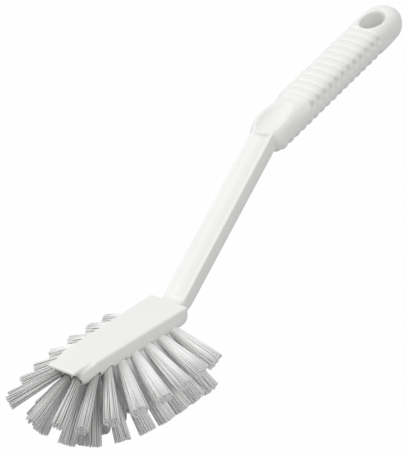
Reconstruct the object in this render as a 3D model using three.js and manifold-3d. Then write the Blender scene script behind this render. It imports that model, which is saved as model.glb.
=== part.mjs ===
// Pot brush: one moulded handle with a slim head, tufts of bristle in blind holes, and a steel plate
// driven through the fold of each tuft. Millimetres, +Z up, +X from the head towards the hang hole.
import * as THREE from 'three';
import { mergeVertices } from 'three/addons/utils/BufferGeometryUtils.js';
import Module from 'manifold-3d';

const wasm = await Module();
wasm.setup();

const { clamp, degToRad, lerp } = THREE.MathUtils;

// Fit between neighbouring pieces
const clearance = 0.3;

// Head: flat top, straight sides, rounded underside
const headLength = 70;
const headBackWidth = 20.4;
const headFrontWidth = 18.4;
const headThickness = 10;
const headBackHeight = 5;
const headBackCurve = 6;
const headFrontCurve = 12;
const headFlankRadius = 5.5;

// Scraper lip at the front of the head
const lipReach = 4;
const lipWidth = 14;
const lipThickness = 1.8;
const lipUndercut = 3;

// Underside skin of the head, which carries the bristles
const skinThickness = 1.2;
const skinTopDepth = 4.7;
const skinFromBack = 2.2;
const partingRows = [1.25, 3.25];

// Neck: rises from the back of the head to the grip
const neckRise = degToRad(39.8);
const neckLength = 79;
const neckFootX = 10;
const neckRootDepth = 4;
const neckRootOverlap = 1;
const neckRootThickness = 7.2;
const neckRootFlare = 1.2;
const neckLowWidth = 12.2;
const neckHighWidth = 12.8;
const neckLowThickness = 9.4;
const neckHighThickness = 9.8;
const neckSquareness = 2.8;

// Grip: ribbed body with a rounded nose and end
const gripRise = degToRad(14.25);
const gripLength = 110;
const gripWidth = 19.4;
const gripThickness = 14.8;
const gripSquareness = 3;
const gripOffset = 0.9;
const gripNoseLength = 12;
const gripNoseWidth = 11;
const gripNoseThickness = 6;
const gripNoseFullness = 2.2;
const gripEndCurve = 13;
const gripEndRound = 9;
const gripEndFlat = 0.3;

// Ribs: grooves across the top and the underside
const grooveFirst = 27.4;
const groovePitch = 5.07;
const grooveCount = 12;
const grooveWidth = 3;
const grooveDepth = 0.9;
const undersideExtraGrooves = 3;

// Thumb dish at the front of the grip
const dishLength = 20.6;
const dishStart = 2.3;
const dishLevel = 1.4;
const dishRise = degToRad(31);
const dishHalfWidth = 7.4;
const dishCurve = 8;
const dishSink = 1.8;

// Hang hole near the end of the grip
const hangHoleRadius = 5.5;
const hangHoleFromEnd = 18.2;
const hangHoleRim = 0.8;

// Tufts: outer and middle rows run down both sides and round the front, one row runs down the centre
const sideTufts = 7;
const sideTuftFirst = 8.5;
const sideTuftFromFront = 8;
const outerSplay = degToRad(64);
const outerSeat = degToRad(62);
const outerLength = 25;
const middleSplay = degToRad(40);
const middleSeat = degToRad(15);
const middleLength = 29.5;
const centreTufts = 6;
const centreLean = degToRad(18);
const centreReach = 32;
const frontSideFromFront = 1.2;
const frontSideY = 4.6;
const frontTipFromFront = 0.2;
const frontMiddleFromFront = 6.5;
const frontMiddleY = 3;
const frontMiddleSplay = degToRad(35);
const frontMiddleLength = 27;
const tuftTurnCurve = 1.5;

// Each tuft: a bundle that stands a little proud of its hole, and strands that spread towards the tips
const tuftRootRadius = 1.5;
const tuftRootDepth = 5.2;
const tuftRootProud = 0.8;
const tuftTipRadius = 4.1;
const strandsPerTuft = 8;
const strandSides = 3;
const strandRootRadius = 0.24;
const strandTipRadius = 0.5;
const strandInset = 0.04;
const tipTrim = 0.5;

// Steel plate through the fold of each tuft
const plateWidth = 4;
const plateThickness = 0.5;
const plateHeight = 1.4;
const plateDepth = 3.8;

// Facets
const mergeDistance = 1e-5;
const ovalPoints = 16;
const flankSteps = 3;
const backSteps = 4;
const frontSteps = 5;
const noseSteps = 4;
const endSteps = 5;
const neckRootSteps = 5;
const dishSegments = 20;
const dishRings = 14;
const rootSides = 6;
const holeSides = 18;

const white = new THREE.MeshStandardMaterial({ color: 0xf3f3f1, roughness: 0.42, metalness: 0 });
const bristle = new THREE.MeshStandardMaterial({ color: 0xf6f5f1, roughness: 0.5, metalness: 0 });
const steel = new THREE.MeshStandardMaterial({ color: 0xb9bcc0, roughness: 0.35, metalness: 1 });

// Solids and meshes

function solid(geometry) {
  geometry.deleteAttribute('normal');
  geometry.deleteAttribute('uv');
  const merged = mergeVertices(geometry, mergeDistance);
  return new wasm.Manifold(new wasm.Mesh({
    numProp: 3,
    vertProperties: new Float32Array(merged.attributes.position.array),
    triVerts: new Uint32Array(merged.index.array),
  }));
}

function mesh(name, body, material) {
  const { vertProperties, triVerts } = body.getMesh();
  const geometry = new THREE.BufferGeometry();
  geometry.setAttribute('position', new THREE.BufferAttribute(new Float32Array(vertProperties), 3));
  geometry.setIndex(new THREE.BufferAttribute(new Uint32Array(triVerts), 1));
  const part = new THREE.Mesh(geometry, material);
  part.name = name;
  return part;
}

// Joins rings of points, all with the same count, into a closed skin with flat ends
function loft(rings) {
  const count = rings[0].length;
  const position = rings.flat().flatMap((p) => [p.x, p.y, p.z]);
  const index = [];
  for (let ring = 0; ring + 1 < rings.length; ring += 1) {
    for (let k = 0; k < count; k += 1) {
      const a = ring * count + k;
      const b = ring * count + (k + 1) % count;
      index.push(a, b, b + count, a, b + count, a + count);
    }
  }
  const last = (rings.length - 1) * count;
  for (let k = 1; k + 1 < count; k += 1) {
    index.push(0, k + 1, k, last, last + k, last + k + 1);
  }
  const geometry = new THREE.BufferGeometry();
  geometry.setAttribute('position', new THREE.Float32BufferAttribute(position, 3));
  geometry.setIndex(index);
  return solid(geometry);
}

// A box between two heights or two lengths, large enough to cut right through
const cutSize = 4 * (headLength + neckLength + gripLength);

function slab(axis, from, to) {
  const size = new THREE.Vector3(cutSize, cutSize, cutSize).setComponent(axis, to - from);
  const box = new THREE.BoxGeometry(size.x, size.y, size.z);
  const shift = new THREE.Vector3().setComponent(axis, (from + to) / 2);
  return solid(box.translate(shift.x, shift.y, shift.z));
}

const below = (z) => slab(2, z - cutSize, z);
const above = (z) => slab(2, z, z + cutSize);

// Turns a shape so that its local axes become right, up and along, and moves it to a point
function place(geometry, right, up, along, point) {
  const matrix = new THREE.Matrix4().makeBasis(right, up, along).setPosition(point);
  return solid(geometry.applyMatrix4(matrix));
}

// Falls from 1 to 0 as u goes from 0 to 1, along a quarter of a rounded square
const roundOff = (u, squareness) => (1 - u ** squareness) ** (1 / squareness);

// Shares from 0 to 1, closer together towards 1, for stations round a curve
function curveShares(steps) {
  return Array.from({ length: steps + 1 }, (_, k) => Math.sin((k / steps) * Math.PI / 2));
}

// Head block

function frontShare(x) {
  return clamp((-x - (headLength - headFrontCurve)) / headFrontCurve, 0, 1);
}

function headHalfWidth(x) {
  const side = lerp(headBackWidth, headFrontWidth, clamp(-x / (headLength - headFrontCurve), 0, 1)) / 2;
  return lerp(lipWidth / 2, side, roundOff(frontShare(x), 2));
}

function headDepth(x) {
  const backShare = clamp(1 + x / headBackCurve, 0, 1);
  const depth = lerp(headBackHeight, headThickness, roundOff(backShare, 2));
  return lerp(lipThickness, depth, roundOff(frontShare(x), lipUndercut));
}

const flankRadius = (x) => Math.min(headFlankRadius, headDepth(x) / 2);

// One cross-section of the head, drawn in by an inset
function headRing(x, inset) {
  const half = headHalfWidth(x) - inset;
  const depth = headDepth(x) - inset;
  const radius = Math.max(flankRadius(x) - inset, clearance);
  const right = [new THREE.Vector3(x, half, -inset)];
  for (let step = 0; step <= flankSteps; step += 1) {
    const turn = (step / flankSteps) * Math.PI / 2;
    const y = half - radius + radius * Math.cos(turn);
    const z = -depth + radius - radius * Math.sin(turn);
    right.push(new THREE.Vector3(x, y, z));
  }
  const left = right.map((p) => new THREE.Vector3(p.x, -p.y, p.z)).reverse();
  return [...left, ...right];
}

function headBlock(inset) {
  const frontStart = headLength - headFrontCurve;
  const back = curveShares(backSteps).map((u) => -headBackCurve + u * (headBackCurve - inset)).reverse();
  const front = curveShares(frontSteps).map((u) => -frontStart - u * (headFrontCurve - inset));
  const lip = inset === 0 ? [-headLength - lipReach] : [];
  return loft([...back, ...front, ...lip].map((x) => headRing(x, inset)));
}

// Neck and grip: ovals set square to a line in the X-Z plane

function ovalRing(centre, rise, halfWidth, topReach, lowReach, squareness) {
  const up = new THREE.Vector3(-Math.sin(rise), 0, Math.cos(rise));
  const ring = [];
  for (let k = 0; k < ovalPoints; k += 1) {
    const turn = (k / ovalPoints) * 2 * Math.PI;
    const across = Math.sign(Math.cos(turn)) * Math.abs(Math.cos(turn)) ** (2 / squareness);
    const height = Math.sign(Math.sin(turn)) * Math.abs(Math.sin(turn)) ** (2 / squareness);
    const point = centre.clone().addScaledVector(up, height * (height > 0 ? topReach : lowReach));
    point.y += across * halfWidth;
    ring.push(point);
  }
  return ring;
}

const heading = (rise) => new THREE.Vector3(Math.cos(rise), 0, Math.sin(rise));
const neckFoot = new THREE.Vector3(neckFootX, 0, 0);
const neckTop = neckFoot.clone().addScaledVector(heading(neckRise), neckLength);
const gripNose = neckTop.clone().add(new THREE.Vector3(0, 0, gripOffset));
const gripPoint = (distance) => gripNose.clone().addScaledVector(heading(gripRise), distance);
const gripUp = new THREE.Vector3(-Math.sin(gripRise), 0, Math.cos(gripRise));

// The neck leaves the head level, bends up and runs straight into the grip
function neckBody() {
  const bendStart = new THREE.Vector3(-neckRootOverlap, 0, -neckRootDepth);
  const bend = new THREE.Vector3(neckFootX - neckRootDepth / Math.tan(neckRise), 0, -neckRootDepth);
  const bendEnd = neckFoot.clone().addScaledVector(heading(neckRise), neckRootDepth);
  const root = new THREE.QuadraticBezierCurve3(bendStart, bend, bendEnd);
  const rings = [];
  for (let step = 0; step < neckRootSteps; step += 1) {
    const share = step / neckRootSteps;
    const { x, z } = root.getTangent(share);
    const half = neckLowWidth / 2 + (neckRootFlare / 2) * (1 - share);
    const reach = lerp(neckRootThickness, neckLowThickness, share) / 2;
    rings.push(ovalRing(root.getPoint(share), Math.atan2(z, x), half, reach, reach, neckSquareness));
  }
  const topEnd = neckTop.clone().addScaledVector(heading(neckRise), gripNoseLength / 2);
  for (const share of [0, 1]) {
    const half = lerp(neckLowWidth, neckHighWidth, share) / 2;
    const reach = lerp(neckLowThickness, neckHighThickness, share) / 2;
    const centre = bendEnd.clone().lerp(topEnd, share);
    rings.push(ovalRing(centre, neckRise, half, reach, reach, neckSquareness));
  }
  return loft(rings);
}

// Grip stations, each with the depth of its groove on the top and on the underside
function gripStations() {
  const nose = curveShares(noseSteps).map((u) => 1 - u).reverse();
  const stations = nose.map((u) => ({ at: u * gripNoseLength, top: 0, low: 0 }));
  for (let k = -undersideExtraGrooves; k < grooveCount; k += 1) {
    const middle = grooveFirst + k * groovePitch;
    const top = k >= 0 ? grooveDepth : 0;
    stations.push({ at: middle - grooveWidth / 2, top: 0, low: 0 });
    stations.push({ at: middle, top, low: grooveDepth });
    stations.push({ at: middle + grooveWidth / 2, top: 0, low: 0 });
  }
  const endStart = gripLength - gripEndCurve;
  for (const u of curveShares(endSteps).slice(0, -1)) {
    stations.push({ at: endStart + u * gripEndCurve, top: 0, low: 0 });
  }
  stations.push({ at: gripLength - gripEndFlat, top: 0, low: 0 });
  return stations;
}

function gripBody() {
  const rings = gripStations().map(({ at, top, low }) => {
    const nose = roundOff(clamp(1 - at / gripNoseLength, 0, 1), gripNoseFullness);
    const endWidth = roundOff(clamp((at - gripLength + gripEndCurve) / gripEndCurve, 0, 1), 2);
    const endHeight = roundOff(clamp((at - gripLength + gripEndRound) / gripEndRound, 0, 1), 2);
    const half = lerp(gripNoseWidth, gripWidth, nose) / 2 * endWidth;
    const reach = lerp(gripNoseThickness, gripThickness, nose) / 2 * endHeight;
    return ovalRing(gripPoint(at), gripRise, half, reach - top, reach - low, gripSquareness);
  });
  return loft(rings);
}

// The dish is a stretched ball, set so that its rim has the dish's length and its floor the sink
function thumbDish() {
  const up = new THREE.Vector3(-Math.sin(dishRise), 0, Math.cos(dishRise));
  const lift = dishCurve - dishSink;
  const stretch = dishLength / 2 / Math.sqrt(1 - (lift / dishCurve) ** 2);
  const centre = gripPoint(dishStart).addScaledVector(gripUp, dishLevel);
  centre.addScaledVector(heading(dishRise), dishLength / 2).addScaledVector(up, lift);
  const ball = new THREE.SphereGeometry(1, dishSegments, dishRings).scale(stretch, dishHalfWidth, dishCurve);
  return place(ball, heading(dishRise), new THREE.Vector3(0, 1, 0), up, centre);
}

// A round bore with a chamfered rim at both faces of the grip
function hangHole() {
  const half = gripThickness / 2;
  const past = half + hangHoleRim;
  const rimRadius = hangHoleRadius + hangHoleRim;
  const upper = [[hangHoleRadius, half - hangHoleRim], [rimRadius, half], [rimRadius, past], [0, past]];
  const lower = upper.map(([radius, height]) => [radius, -height]).reverse();
  const profile = [...lower, ...upper].map(([radius, height]) => new THREE.Vector2(radius, height));
  const bore = new THREE.LatheGeometry(profile, holeSides);
  const side = new THREE.Vector3().crossVectors(heading(gripRise), gripUp);
  return place(bore, heading(gripRise), gripUp, side, gripPoint(gripLength - hangHoleFromEnd));
}

// Tuft layout: a seat on the underside, a direction, a length and the way its plate lies

function tuft(seat, splay, turn, side, length) {
  const plan = new THREE.Vector3(-Math.sin(turn), side * Math.cos(turn), 0);
  const direction = plan.clone().multiplyScalar(Math.sin(splay));
  direction.z = -Math.cos(splay);
  const across = new THREE.Vector3(-plan.y, plan.x, 0);
  const flat = new THREE.Vector3().crossVectors(direction, across);
  return { seat, direction, across, flat, length };
}

function flankSeat(x, side, angle) {
  const radius = flankRadius(x);
  const y = headHalfWidth(x) - radius + radius * Math.sin(angle);
  const z = -headDepth(x) + radius - radius * Math.cos(angle);
  return new THREE.Vector3(x, side * y, z);
}

const bottomSeat = (x, y) => new THREE.Vector3(x, y, -headDepth(x));
const frontSeat = (fromFront, y) => bottomSeat(fromFront - headLength, y);
const sidePitch = (headLength - sideTuftFromFront - sideTuftFirst) / (sideTufts - 1);
const sideX = (row) => -sideTuftFirst - row * sidePitch;

// The tufts turn from sideways at the back to straight ahead at the front
const frontRow = sideTufts + 1;
const turnAt = (row) => Math.PI / 2 * Math.max(row / frontRow, 0) ** tuftTurnCurve;

function tuftLayout() {
  const tufts = [];
  for (const side of [1, -1]) {
    for (let row = 0; row < sideTufts; row += 1) {
      const between = row - 0.5;
      const outer = flankSeat(sideX(row), side, outerSeat);
      const middle = flankSeat(sideX(between), side, middleSeat);
      tufts.push(tuft(outer, outerSplay, turnAt(row), side, outerLength));
      tufts.push(tuft(middle, middleSplay, turnAt(between), side, middleLength));
    }
    const frontOuter = frontSeat(frontSideFromFront, side * frontSideY);
    const frontMiddle = frontSeat(frontMiddleFromFront, side * frontMiddleY);
    tufts.push(tuft(frontOuter, outerSplay, turnAt(frontRow - 1), side, outerLength));
    tufts.push(tuft(frontMiddle, frontMiddleSplay, turnAt(frontRow - 1), side, frontMiddleLength));
  }
  tufts.push(tuft(frontSeat(frontTipFromFront, 0), outerSplay, turnAt(frontRow), 1, outerLength));
  for (let row = 0; row < centreTufts; row += 1) {
    const lean = centreLean * row / (centreTufts - 1);
    const length = (centreReach + tipTrim) / Math.cos(lean) + tuftTipRadius * Math.tan(lean);
    tufts.push(tuft(bottomSeat(sideX(row), 0), lean, Math.PI / 2, 1, length));
  }
  return tufts;
}

// Pieces of one tuft

function onTuft({ seat, direction, across, flat }, geometry, depth) {
  return place(geometry, across, flat, direction, seat.clone().addScaledVector(direction, -depth));
}

function roundBar(radius, length) {
  return new THREE.CylinderGeometry(radius, radius, length, rootSides).rotateX(Math.PI / 2);
}

function plateBox(gap) {
  const [width, thickness, height] = [plateWidth, plateThickness, plateHeight].map((size) => size + 2 * gap);
  return new THREE.BoxGeometry(width, thickness, height);
}

// The plate, and the room that it takes in the fold and in the wall of the hole
const tuftPlate = (item) => onTuft(item, plateBox(0), plateDepth);
const platePocket = (item) => onTuft(item, plateBox(clearance), plateDepth);

// The blind hole in the head
function tuftHole(item) {
  const length = tuftRootDepth + clearance;
  return onTuft(item, roundBar(tuftRootRadius + clearance, length), length / 2);
}

// A ring of points round an upright axis
function ring(count, x, y, radius, turn, height) {
  return Array.from({ length: count }, (_, corner) => {
    const angle = turn + corner * 2 * Math.PI / count;
    return new THREE.Vector3(x + radius * Math.cos(angle), y + radius * Math.sin(angle), height);
  });
}

// Strands in a sunflower pattern, each with its foot on the end of the bundle and its tip spread out
function strandRings(length) {
  const goldenTurn = Math.PI * (3 - Math.sqrt(5));
  const footReach = tuftRootRadius * Math.cos(Math.PI / rootSides) - strandRootRadius - strandInset;
  const tipReach = tuftTipRadius - strandTipRadius;
  const feet = [];
  const tips = [];
  for (let k = 0; k < strandsPerTuft; k += 1) {
    const share = Math.sqrt((k + 0.5) / strandsPerTuft);
    const turn = k * goldenTurn;
    const x = share * Math.cos(turn);
    const y = share * Math.sin(turn);
    feet.push(ring(strandSides, x * footReach, y * footReach, strandRootRadius, turn, tuftRootProud));
    tips.push(ring(strandSides, x * tipReach, y * tipReach, strandTipRadius, turn, length));
  }
  return { feet, tips };
}

// The bundle and its strands as one skin
function tuftBody(item) {
  const fold = ring(rootSides, 0, 0, tuftRootRadius, 0, -tuftRootDepth);
  const brim = ring(rootSides, 0, 0, tuftRootRadius, 0, tuftRootProud);
  const { feet, tips } = strandRings(item.length);
  const points = [...fold, ...brim, ...feet.flat(), ...tips.flat()];
  const index = [];
  const wall = (base, count, toOther) => {
    for (let k = 0; k < count; k += 1) {
      const a = base + k;
      const b = base + (k + 1) % count;
      index.push(a, b, b + toOther, a, b + toOther, a + toOther);
    }
  };
  wall(0, rootSides, rootSides);
  for (let k = 1; k + 1 < rootSides; k += 1) {
    index.push(0, k + 1, k);
  }
  for (const [a, b, c] of THREE.ShapeUtils.triangulateShape(brim, feet)) {
    const [p, q, r] = [a, b, c].map((k) => points[rootSides + k]);
    const turnsLeft = (q.x - p.x) * (r.y - p.y) > (q.y - p.y) * (r.x - p.x);
    index.push(...(turnsLeft ? [a, b, c] : [a, c, b]).map((k) => rootSides + k));
  }
  const feetCount = strandsPerTuft * strandSides;
  for (let foot = 2 * rootSides; foot < 2 * rootSides + feetCount; foot += strandSides) {
    wall(foot, strandSides, feetCount);
    for (let k = 1; k + 1 < strandSides; k += 1) {
      index.push(foot + feetCount, foot + feetCount + k, foot + feetCount + k + 1);
    }
  }
  const geometry = new THREE.BufferGeometry().setFromPoints(points).setIndex(index);
  return onTuft(item, geometry, 0);
}

// Assembly

const tufts = tuftLayout();
const brush = new THREE.Group();

const headCrown = headBlock(0).subtract(below(-skinTopDepth + clearance));
const headCore = headBlock(skinThickness + clearance);
const headBack = headBlock(0).intersect(slab(0, clearance - skinFromBack, cutSize));
const blank = wasm.Manifold.union([headCrown, headCore, headBack, neckBody(), gripBody()]);
const pockets = wasm.Manifold.union(tufts.map(platePocket));
const cuts = wasm.Manifold.union([thumbDish(), hangHole(), pockets, ...tufts.map(tuftHole)]);
brush.add(mesh('handle', blank.subtract(cuts), white));

// The bristles stand in three stretches of the underside skin, parted between rows
const skin = headBlock(0).subtract(above(-skinTopDepth)).subtract(headBlock(skinThickness));
const trim = below(-headThickness - centreReach).add(pockets);
const [rearParting, frontParting] = partingRows.map(sideX);
const stretches = [
  { name: 'bristles_rear', from: rearParting, to: clearance / 2 - skinFromBack },
  { name: 'bristles_middle', from: frontParting, to: rearParting },
  { name: 'bristles_front', from: -cutSize, to: frontParting },
];
for (const { name, from, to } of stretches) {
  const own = tufts.filter(({ seat }) => seat.x > from && seat.x <= to);
  const backing = skin.intersect(slab(0, from + clearance / 2, to - clearance / 2));
  const whole = wasm.Manifold.union([backing, ...own.map(tuftBody)]);
  brush.add(mesh(name, whole.subtract(trim), bristle));
}

tufts.forEach((item, k) => {
  const label = String(k + 1).padStart(2, '0');
  brush.add(mesh(`staple_plate_${label}`, tuftPlate(item), steel));
});

// The brush stands on its longest tufts, with the origin under the middle of its box
const box = new THREE.Box3().setFromObject(brush);
const middle = box.getCenter(new THREE.Vector3());
brush.position.set(-middle.x, -middle.y, -box.min.z);

export default brush;
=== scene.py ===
"""Looks of a white pot brush: one moulded handle, tufts of fine filament, a pale stage and a camera."""

import math
import random

import bmesh
import bpy
from bpy.props import FloatProperty, FloatVectorProperty, IntProperty, PointerProperty
from mathutils import Matrix, Vector


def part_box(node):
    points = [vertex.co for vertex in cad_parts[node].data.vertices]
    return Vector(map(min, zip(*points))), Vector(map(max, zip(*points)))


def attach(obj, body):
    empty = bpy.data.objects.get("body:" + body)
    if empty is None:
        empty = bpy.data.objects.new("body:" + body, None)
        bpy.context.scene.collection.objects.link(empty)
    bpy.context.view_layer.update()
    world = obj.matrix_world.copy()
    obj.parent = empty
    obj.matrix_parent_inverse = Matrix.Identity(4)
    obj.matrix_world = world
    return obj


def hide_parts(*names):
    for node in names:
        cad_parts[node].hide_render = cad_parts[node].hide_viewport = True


bl_info = {
    "name": "Pot brush looks",
    "version": (1, 0, 0),
    "blender": (4, 5, 0),
    "location": "View3D > Sidebar > Pot brush",
    "description": "Models the moulding, the bristles and the stage of a pot brush around its solids",
    "category": "Object",
}

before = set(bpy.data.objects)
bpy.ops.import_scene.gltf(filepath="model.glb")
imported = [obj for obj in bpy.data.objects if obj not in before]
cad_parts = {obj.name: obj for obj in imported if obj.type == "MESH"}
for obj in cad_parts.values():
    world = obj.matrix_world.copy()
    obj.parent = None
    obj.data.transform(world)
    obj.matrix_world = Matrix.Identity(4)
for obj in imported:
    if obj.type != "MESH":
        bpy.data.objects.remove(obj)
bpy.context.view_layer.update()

MM = 0.001
IMAGE_LONG_SIDE = 455


def linear(code):
    """Linear red, green and blue of an sRGB hex colour."""
    parts = [int(code[k:k + 2], 16) / 255 for k in (0, 2, 4)]
    return tuple(c / 12.92 if c <= 0.04045 else ((c + 0.055) / 1.055) ** 2.4 for c in parts)


def length(name, description, millimetres):
    return FloatProperty(name=name, description=description, default=millimetres * MM,
                         precision=5, subtype="DISTANCE", unit="LENGTH")


def angle(name, description, degrees):
    return FloatProperty(name=name, description=description, default=math.radians(degrees),
                         subtype="ANGLE", unit="ROTATION")


def ratio(name, description, default):
    return FloatProperty(name=name, description=description, default=default, subtype="FACTOR")


def exponent(name, description, default):
    return FloatProperty(name=name, description=description, default=default, min=0.1)


def watts(name, description, default):
    return FloatProperty(name=name, description=description, default=default, unit="POWER")


def count(name, description, default):
    return IntProperty(name=name, description=description, default=default, min=1)


def colour(name, description, code):
    return FloatVectorProperty(name=name, description=description, default=linear(code),
                               subtype="COLOR", size=3, min=0, max=1)


class HeadSizes(bpy.types.PropertyGroup):
    """Sizes of the head and of its scraper lip. Lengths run forward from the back of the head"""

    back_x: length("Back, along", "Place of the back of the head", -41.815)
    top_z: length("Top, up", "Height of the head's flat top", 42)
    long: length("Length", "From the back to the front of the shoulders", 70)
    back_width: length("Back width", "Width at the back", 20.4)
    front_width: length("Front width", "Width before the front corners", 18.4)
    deep: length("Thickness", "From the flat top to the underside", 10)
    back_height: length("Back height", "Height of the back wall", 7.6)
    back_bulge: length("Back bulge", "How far the back wall bulges out", 1.3)
    back_radius: length("Back radius", "Radius along the top's back edge", 1.8)
    back_curve: length("Back curve", "Length of the curve under the back end", 4)
    front_curve: length("Front curve", "Length of the front corners", 12)
    front_fullness: exponent("Front fullness", "Power of the underside's front curve", 5)
    flank_radius: length("Flank radius", "Radius along the lower edges", 5.5)
    edge_radius: length("Edge radius", "Radius along the top edges", 0.9)
    dip: length("Shoulder dip", "How far the shoulders fall below the lip", 1.8)
    dip_long: length("Dip length", "Length over which the shoulders fall", 10)
    lip_reach: length("Lip reach", "How far the lip stands out in front", 4)
    lip_width: length("Lip width", "Width of the lip", 14)
    lip_thick: length("Lip thickness", "Thickness of the lip", 1.8)
    lip_back: length("Lip back", "Place of the lip's back end", 61)
    lip_corner: length("Lip corner", "Radius of the lip's back corners", 3.5)
    lip_edge: length("Lip edge", "Radius along the edges of the lip", 0.4)


class NeckSizes(bpy.types.PropertyGroup):
    """Sizes of the neck, which bends up out of the back of the head"""

    rise: angle("Rise", "Slope of the straight part", 39.8)
    long: length("Length", "From the foot of the slope to the grip", 79)
    foot_x: length("Foot", "Where the slope meets the level of the head's top", 10)
    root_depth: length("Root depth", "Depth of the root's middle below the head's top", 3.75)
    root_bend: length("Root bend", "Length of the bend, to each side of its corner", 3.6)
    root_overlap: length("Root overlap", "How far the root reaches into the head", 1)
    root_thick: length("Root thickness", "Thickness where it leaves the head", 7.5)
    low_width: length("Low width", "Width above the root", 11.7)
    high_width: length("High width", "Width under the grip", 12.1)
    low_thick: length("Low thickness", "Thickness above the root", 8.6)
    high_thick: length("High thickness", "Thickness under the grip", 8.9)
    fillet: length("Root fillet", "Radius of the fillets at the head", 3)
    squareness: exponent("Squareness", "Power of the rounded section, 2 for an oval", 3.8)
    crown: length("Crown", "Height of the ridge along the top", 0.9)
    rim: length("Rim", "Height of the rims along the top", 0.8)
    rim_place: length("Rim place", "From the middle line to a rim", 4.9)
    rim_width: length("Rim width", "Half the width of a rim", 0.9)


class GripSizes(bpy.types.PropertyGroup):
    """Sizes of the grip, its ribs, its thumb dish and its hang hole. Places run along it from its nose"""

    rise: angle("Rise", "Slope of the grip", 14.25)
    long: length("Length", "From the nose to the end", 109.5)
    offset: length("Offset", "Height of its middle line above the neck's end", 0.9)
    width: length("Width", "Width across the ribs", 19.4)
    thick: length("Thickness", "Thickness between top and underside", 14.8)
    squareness: exponent("Squareness", "Power of the rounded section, 2 for an oval", 3)
    nose_long: length("Nose length", "Length over which the nose swells", 12)
    nose_width: length("Nose width", "Width at the tip of the nose", 11.6)
    nose_thick: length("Nose thickness", "Thickness at the tip of the nose", 8)
    nose_under: length("Nose underside", "Length over which the nose's underside swells", 5)
    nose_fullness: exponent("Nose fullness", "Power of the swelling curve on top", 2)
    under_fullness: exponent("Underside fullness", "Power of the swelling curve underneath", 4)
    end_curve: length("End curve", "Length of the round end, seen from above", 11)
    end_round: length("End round", "Length of the round end, seen from the side", 7.5)
    end_squareness: exponent("End squareness", "Power of the section at the round end", 2.2)
    land: length("Land", "How far the smooth end stands above the ribs", 0.05)
    waist: length("Waist", "How far the ribs stand above the nose", 1.2)
    waist_start: length("Waist start", "Where the nose starts to fall towards the ribs", 5)
    groove_first: length("First groove", "Place of the first groove on the top", 27.4)
    groove_pitch: length("Groove pitch", "Distance from groove to groove", 5.07)
    groove_count: count("Grooves", "Number of grooves across the top", 12)
    groove_width: length("Groove width", "Width across the top", 2.3)
    groove_depth: length("Groove depth", "Depth across the top", 0.8)
    dimple_width: length("Dimple width", "Width at the end of a groove", 3.4)
    dimple_depth: length("Dimple depth", "Depth at the end of a groove", 2.6)
    dimple_high: angle("Dimple, high", "Turn above the side where a groove starts to widen", 36)
    dimple_deep: angle("Dimple, deep", "Turn above the side where a dimple is deepest", 22)
    dimple_low: angle("Dimple, low", "Turn above the side where a dimple ends", 4)
    scallop_depth: length("Scallop depth", "Depth between the swells of the underside", 1.2)
    scallop_high: angle("Scallop, high", "Turn below the side where the scallops start", 6)
    scallop_extra: count("Extra scallops", "Scallops in front of the first groove", 5)
    dish_long: length("Dish length", "Length of the thumb dish", 26)
    dish_start: length("Dish start", "Place of the dish's lower rim", -1.3)
    dish_level: length("Dish level", "Height of the lower rim above the middle line", 3.6)
    dish_rise: angle("Dish rise", "Slope of the dish", 22.6)
    dish_half: length("Dish half width", "Half the width of the hollowing ball", 7.2)
    dish_curve: length("Dish curve", "Half the height of the hollowing ball", 6)
    dish_sink: length("Dish sink", "Depth of the dish", 1.5)
    dish_lip: length("Dish lip", "Radius of the bead at the dish's lower end", 0.9)
    dish_lip_place: length("Dish lip place", "From the neck's end to the bead", 1)
    dish_lip_half: length("Dish lip half width", "Half the width of the lip", 4.2)
    dish_lip_sag: length("Dish lip sag", "How far its middle hangs below its ends", 1.2)
    dish_soft: count("Dish softness", "Passes that soften the rim of the dish", 17)
    hole_width: length("Hole width", "Width across the grip", 10.6)
    hole_long: length("Hole length", "Length along the grip", 14.8)
    hole_from_end: length("Hole place", "From the end of the grip to the hole's middle", 16.9)
    hole_round: length("Hole rounding", "Radius of the hole's rounded rims", 1.5)


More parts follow.
